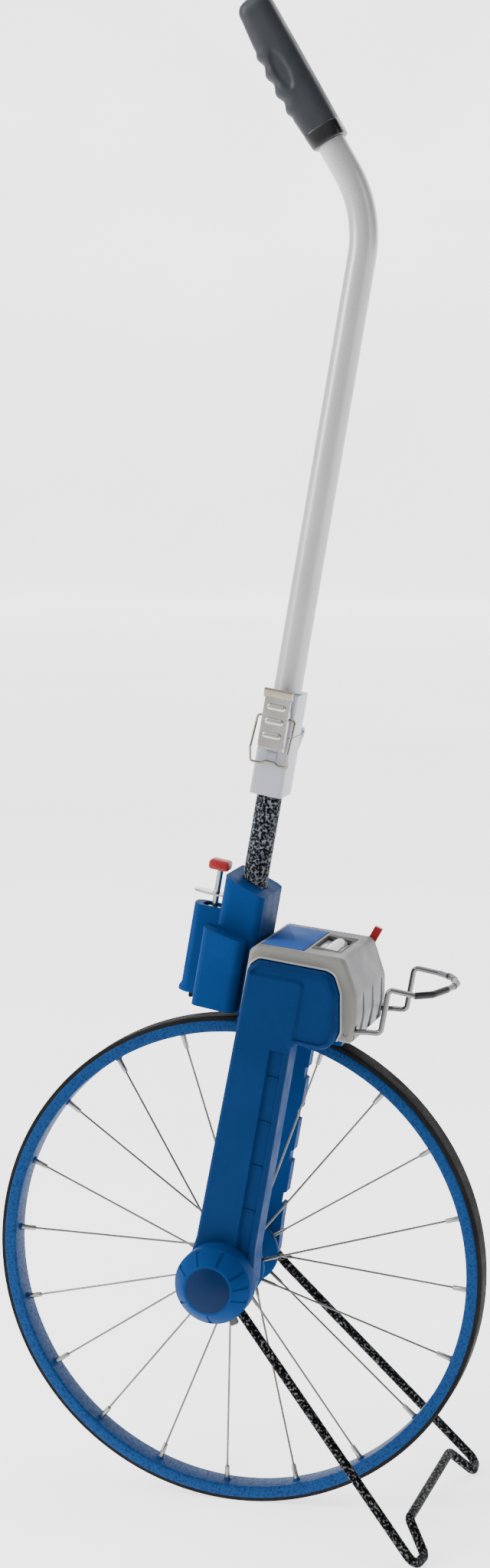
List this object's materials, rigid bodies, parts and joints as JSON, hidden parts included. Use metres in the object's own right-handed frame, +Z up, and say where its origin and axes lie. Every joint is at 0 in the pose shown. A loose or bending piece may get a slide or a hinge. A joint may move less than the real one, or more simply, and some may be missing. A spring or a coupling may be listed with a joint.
{
  "type": "measuring wheel",
  "caption": "Walking measuring wheel with a spoked rim, a belt driven counter in the fork, a fold-down handle, a brake and a wire kickstand.",
  "frame": {"origin": "the point of the ground under the axle, where the tyre stands, midway between the two arms", "axes": "+X is the way the wheel travels, towards the stand and the front bail; -Y is the near side with the belt drive; +Z is up. The mast leans 10.5 degrees forward from +Z."},
  "size_m": [0.3974, 0.2312, 1.1806],
  "materials": {
    "tyre_rubber": "matt black rubber",
    "rim_blue": "blue hammered paint",
    "cover_blue": "satin moulded plastic",
    "housing_grey": "fine grained plastic",
    "label_blue": "printed foil",
    "lens_grey": "clear plastic magnifier",
    "red_plastic": "satin red plastic",
    "hammertone_black": "black and silver hammertone paint",
    "bracket_grey": "light grey powder coat",
    "bright_steel": "bright plated steel",
    "tube_silver": "light silver-grey paint",
    "grip_rubber": "charcoal moulded grip",
    "chrome": "chromed wire",
    "belt_black": "matt rubber",
    "drum_black": "matt moulded plastic",
    "pinion_white": "natural moulded nylon",
    "bush_grey": "self-lubricating plastic"
  },
  "bodies": {
    "frame": {"frame_head": "cover_blue", "arm_near": "cover_blue", "arm_far": "cover_blue", "cover_near": "cover_blue", "cover_far": "cover_blue", "bush_near": "bush_grey", "bush_far": "bush_grey", "counter_box": "housing_grey", "label_plate": "label_blue", "window_lens": "lens_grey", "belt": "belt_black", "lower_shaft": "hammertone_black", "lower_bracket": "bracket_grey", "hinge_pin": "bright_steel", "brake_spring": "bright_steel"},
    "wheel": {"tyre": "tyre_rubber", "rim": "rim_blue", "hub_shell": "cover_blue", "axle": "bright_steel", "drive_pulley": "pinion_white", "spoke_01": "bright_steel", "spoke_02": "bright_steel", "spoke_03": "bright_steel", "spoke_04": "bright_steel", "spoke_05": "bright_steel", "spoke_06": "bright_steel", "spoke_07": "bright_steel", "spoke_08": "bright_steel", "spoke_09": "bright_steel", "spoke_10": "bright_steel", "spoke_11": "bright_steel", "spoke_12": "bright_steel", "spoke_13": "bright_steel", "spoke_14": "bright_steel", "spoke_15": "bright_steel", "spoke_16": "bright_steel", "spoke_17": "bright_steel", "spoke_18": "bright_steel", "spoke_19": "bright_steel", "spoke_20": "bright_steel"},
    "transfer": {"transfer_gear": "pinion_white"},
    "counter": {"counter_shaft": "bright_steel", "drum_1": "drum_black"},
    "drum_2": {"drum_2": "drum_black"},
    "drum_3": {"drum_3": "drum_black"},
    "drum_4": {"drum_4": "drum_black"},
    "stand": {"kickstand": "hammertone_black", "hub_cap_near": "cover_blue", "hub_cap_far": "cover_blue"},
    "bail": {"front_bail": "chrome"},
    "handle": {"upper_bracket": "bracket_grey", "upper_tube": "tube_silver", "grip": "grip_rubber"},
    "latch": {"latch_lever": "bright_steel"},
    "latch_wire": {"latch_wire": "bright_steel"},
    "brake": {"brake_knob": "red_plastic", "brake_rod": "bright_steel", "brake_shoe": "tyre_rubber"},
    "lock_leaf": {"lock_leaf": "bright_steel"},
    "reset": {"reset_lever": "red_plastic"}
  },
  "joints": [
    {"name": "wheel_spin", "type": "hinge", "parent": "frame", "child": "wheel", "pos_m": [0, 0, 0.1987], "axis": [0, 1, 0], "continuous": true},
    {"name": "transfer_spin", "type": "hinge", "parent": "frame", "child": "transfer", "pos_m": [0.04727, -0.04, 0.42081], "axis": [0, 1, 0], "continuous": true},
    {"name": "counter_spin", "type": "hinge", "parent": "frame", "child": "counter", "pos_m": [0.0758, 0, 0.43484], "axis": [0, 1, 0], "continuous": true},
    {"name": "drum_2_spin", "type": "hinge", "parent": "frame", "child": "drum_2", "pos_m": [0.0758, 0, 0.43484], "axis": [0, 1, 0], "continuous": true},
    {"name": "drum_3_spin", "type": "hinge", "parent": "frame", "child": "drum_3", "pos_m": [0.0758, 0, 0.43484], "axis": [0, 1, 0], "continuous": true},
    {"name": "drum_4_spin", "type": "hinge", "parent": "frame", "child": "drum_4", "pos_m": [0.0758, 0, 0.43484], "axis": [0, 1, 0], "continuous": true},
    {"name": "stand_swing", "type": "hinge", "parent": "frame", "child": "stand", "pos_m": [0, 0, 0.1987], "axis": [0, -1, 0], "range_deg": [0, 102]},
    {"name": "bail_spring", "type": "hinge", "parent": "frame", "child": "bail", "pos_m": [0.10094, 0, 0.39764], "axis": [0, 1, 0], "range_deg": [0, 18], "stiffness_Nm_per_rad": 0.2, "springref_deg": -17.19},
    {"name": "handle_fold", "type": "hinge", "parent": "frame", "child": "handle", "pos_m": [0.03775, 0.021, 0.62191], "axis": [-0.9833, 0, 0.1822], "range_deg": [0, 178]},
    {"name": "latch_open", "type": "hinge", "parent": "handle", "child": "latch", "pos_m": [0.03621, -0.0205, 0.61355], "axis": [0.9833, 0, -0.1822], "range_deg": [0, 140]},
    {"name": "latch_wire_turn", "type": "hinge", "parent": "latch", "child": "latch_wire", "pos_m": [0.0404, -0.02, 0.63617], "axis": [0.9833, 0, -0.1822], "range_deg": [-140, 0]},
    {"name": "brake_slide", "type": "slide", "parent": "frame", "child": "brake", "axis": [-0.1822, 0, -0.9833], "range_m": [0, 0.016], "stiffness_N_per_m": 80, "springref_m": -0.02, "deforming": ["brake_spring"]},
    {"name": "lock_leaf_tilt", "type": "hinge", "parent": "frame", "child": "lock_leaf", "pos_m": [-0.00314, 0, 0.49128], "axis": [0, 1, 0], "range_deg": [0, 5], "stiffness_Nm_per_rad": 0.02, "springref_deg": -17.19},
    {"name": "reset_push", "type": "hinge", "parent": "frame", "child": "reset", "pos_m": [0.0958, 0.052, 0.44944], "axis": [0, -1, 0], "range_deg": [0, 25], "stiffness_Nm_per_rad": 0.02, "springref_deg": -17.19}
  ],
  "couplings": [
    {"joint": "transfer_spin", "follows": "wheel_spin", "ratio": 1},
    {"joint": "counter_spin", "follows": "wheel_spin", "ratio": -1.25},
    {"joint": "drum_2_spin", "follows": "wheel_spin", "ratio": -0.125},
    {"joint": "drum_3_spin", "follows": "wheel_spin", "ratio": -0.0125},
    {"joint": "drum_4_spin", "follows": "wheel_spin", "ratio": -0.00125},
    {"joint": "latch_wire_turn", "follows": "latch_open", "ratio": -1}
  ]
}
